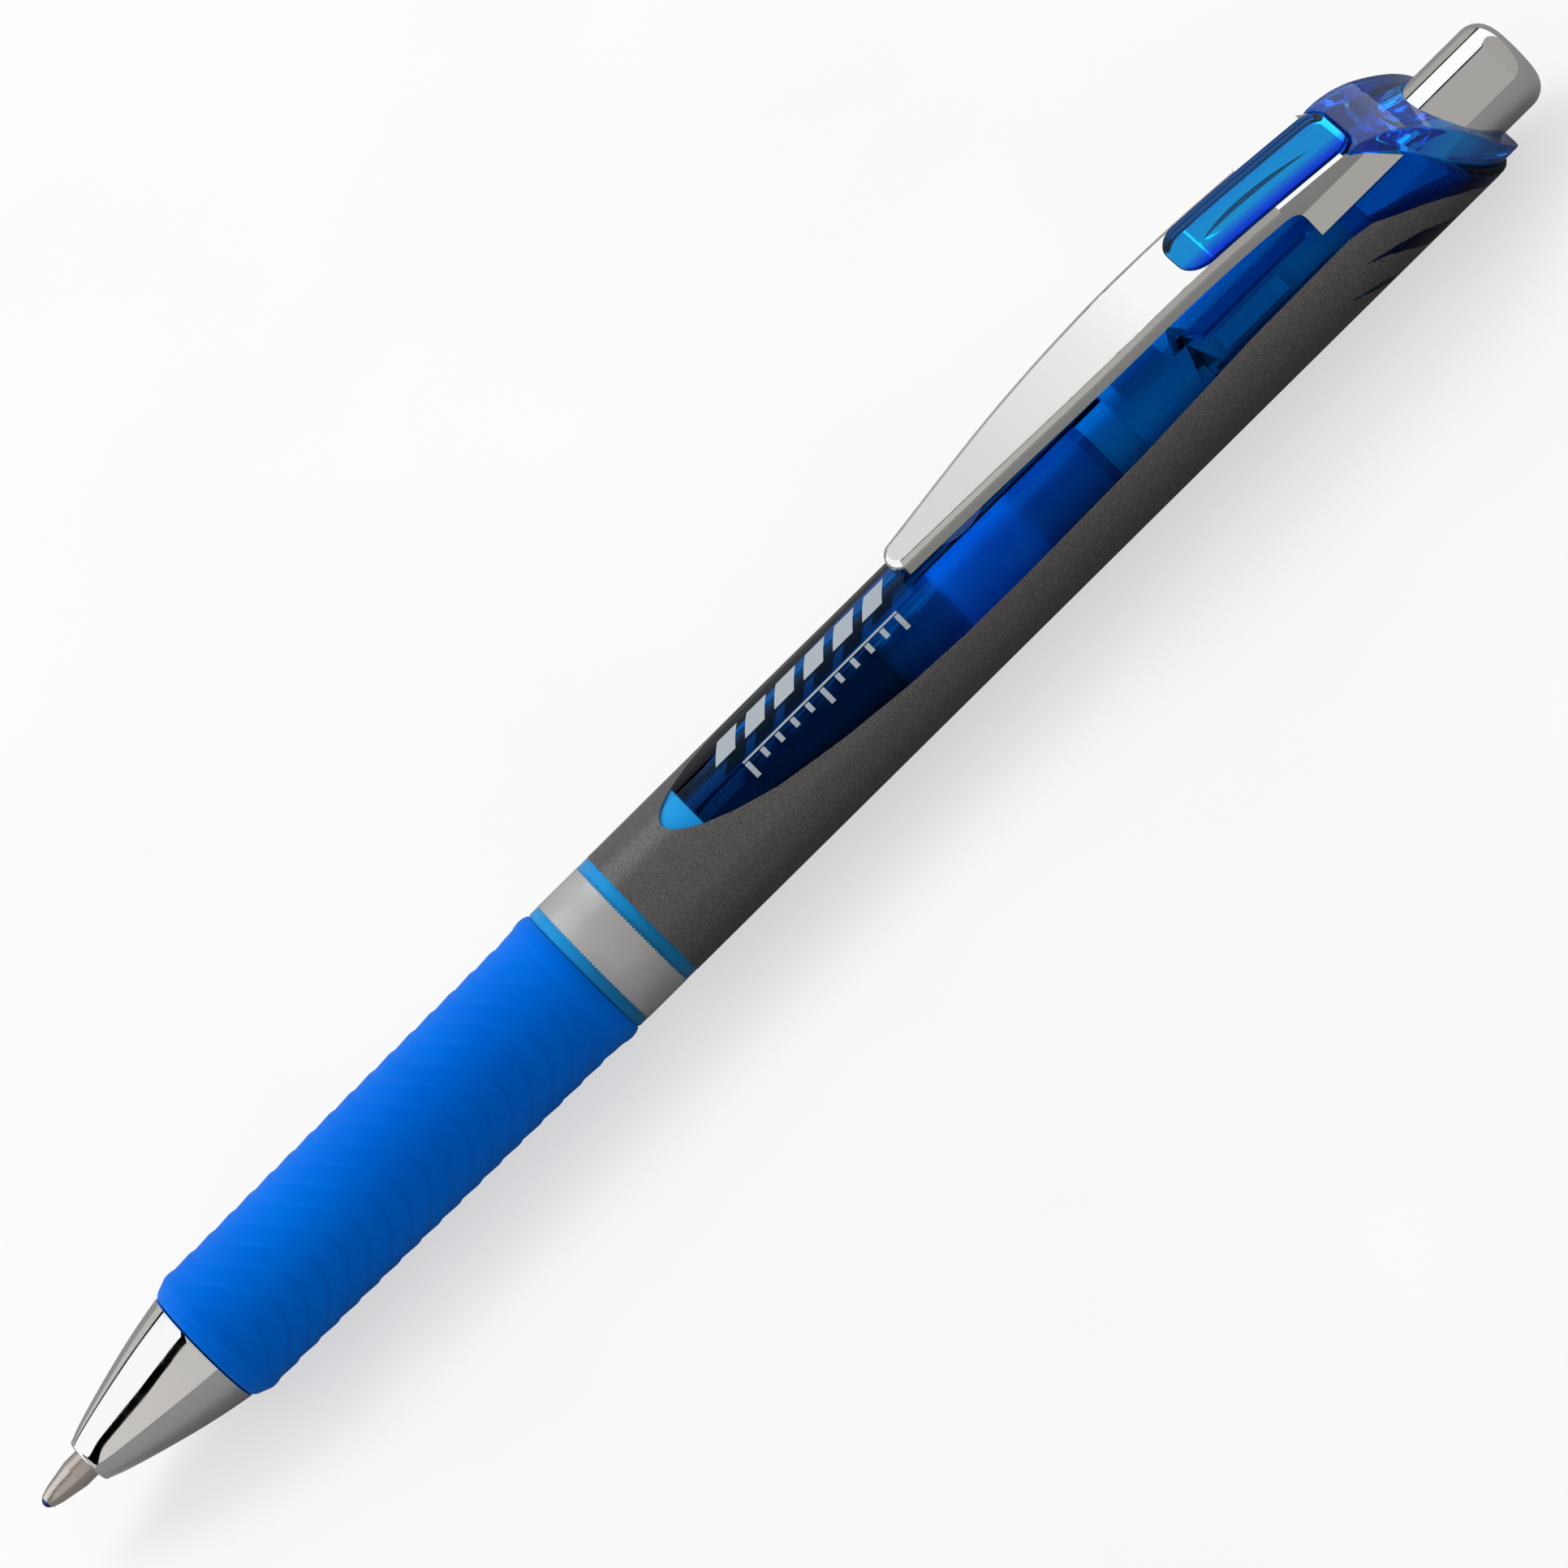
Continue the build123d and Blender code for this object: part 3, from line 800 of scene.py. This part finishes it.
def build_world():
    """Studio tent: grey walls and a large soft panel above and behind the pen, with dark edges."""
    world = bpy.data.worlds.new("studio")
    world.use_nodes = True
    tree = world.node_tree
    tree.nodes.clear()
    links = tree.links
    output = tree.nodes.new("ShaderNodeOutputWorld")
    coordinates = tree.nodes.new("ShaderNodeTexCoord")
    direction = coordinates.outputs["Generated"]

    def along(axis):
        """How far the direction points along an axis."""
        node = tree.nodes.new("ShaderNodeVectorMath")
        node.operation = "DOT_PRODUCT"
        node.inputs[1].default_value = axis
        links.new(direction, node.inputs[0])
        return node.outputs["Value"]

    def calculate(operation, a, b):
        """A math node over two numbers or sockets."""
        node = tree.nodes.new("ShaderNodeMath")
        node.operation = operation
        for socket, value in zip(node.inputs, (a, b)):
            if isinstance(value, float):
                socket.default_value = value
            else:
                links.new(value, socket)
        return node.outputs["Value"]

    def times(a, b):
        """The product of two numbers or sockets."""
        return calculate("MULTIPLY", a, b)

    def outside(share):
        """The rest of a share: 1 where it is 0, and 0 where it is 1."""
        return calculate("SUBTRACT", 1.0, share)

    def edge(value, place):
        """0 below place and 1 above it, over a narrow soft line."""
        risen = calculate("DIVIDE", calculate("SUBTRACT", value, place), 0.004)
        return calculate("MINIMUM", calculate("MAXIMUM", risen, 0.0), 1.0)

    front_edge = (-0.473, 0.86, -0.191)
    front_line_edge = (-0.646, 0.752, -0.13)
    to_button = along((1.0, 0.0, 0.0))
    to_back = along((0.0, 1.0, 0.0))
    panel_front = edge(along(front_edge), 0.0)
    panel_rear = edge(to_back, 0.84)
    panel = times(panel_front, outside(panel_rear))
    front_line = times(edge(along(front_line_edge), -0.045), outside(panel_front))
    rear_line = times(panel_rear, outside(edge(to_back, 0.885)))
    dark = calculate("MAXIMUM", front_line, rear_line)
    above = edge(along((0.0, 0.0, 1.0)), 0.0)
    walls = ramp(tree, times(calculate("ADD", to_button, 1.0), 0.5), WALL_LEFT, WALL_RIGHT, 0.1, 0.6)
    wall_light = times(times(walls, outside(dark)), above)
    half_power = [(place, (0.5 * power,) * 3) for place, power in PANEL_LIGHT]
    panel_light = times(times(panel, spread(tree, to_button, half_power, -1.0, 1.0)), 2.0)
    light = calculate("ADD", times(wall_light, outside(panel)), panel_light)
    tint = ramp(tree, panel, WALL_TINT, 1.0, 0.0, 1.0)
    tinted = tree.nodes.new("ShaderNodeVectorMath")
    tinted.operation = "SCALE"
    links.new(tint, tinted.inputs["Vector"])
    links.new(light, tinted.inputs["Scale"])
    reflected = tree.nodes.new("ShaderNodeBackground")
    links.new(tinted.outputs["Vector"], reflected.inputs["Color"])
    shown = tree.nodes.new("ShaderNodeBackground")
    shown.inputs["Color"].default_value = (0.86, 0.86, 0.86, 1)
    backdrop = mixed(tree, ray_kind(tree, "Is Camera Ray"), reflected.outputs["Background"],
                     shown.outputs["Background"])
    links.new(backdrop, output.inputs["Surface"])
    bpy.context.scene.world = world


def build_camera():
    """Long lens straight over one station, turned so that the pen lies aslant in the picture."""
    away = Vector((0, -math.cos(CAMERA_RISE), math.sin(CAMERA_RISE)))
    along = Vector((1, 0, 0))
    across = away.cross(along)
    eye = at(CAMERA_FOOT, 0) + away * CAMERA_DISTANCE - across * CAMERA_SHIFT
    right = along * math.cos(PICTURE_TURN) - across * math.sin(PICTURE_TURN)
    up = along * math.sin(PICTURE_TURN) + across * math.cos(PICTURE_TURN)
    camera = bpy.data.cameras.new("camera")
    camera.lens = CAMERA_LENS
    camera.sensor_width = 36.0
    camera.clip_start = 0.01
    holder = bpy.data.objects.new("camera", camera)
    turn = Matrix((right, up, away)).transposed().to_4x4()
    holder.matrix_world = Matrix.Translation(eye) @ turn
    bpy.context.scene.collection.objects.link(holder)
    bpy.context.scene.camera = holder


build_floor()
build_world()
area_light("key", (-0.1, 0.45, 0.7), (0, 0, 0), (0.5, 0.4), 2.0)
build_camera()
bpy.context.scene.view_settings.view_transform = "Standard"
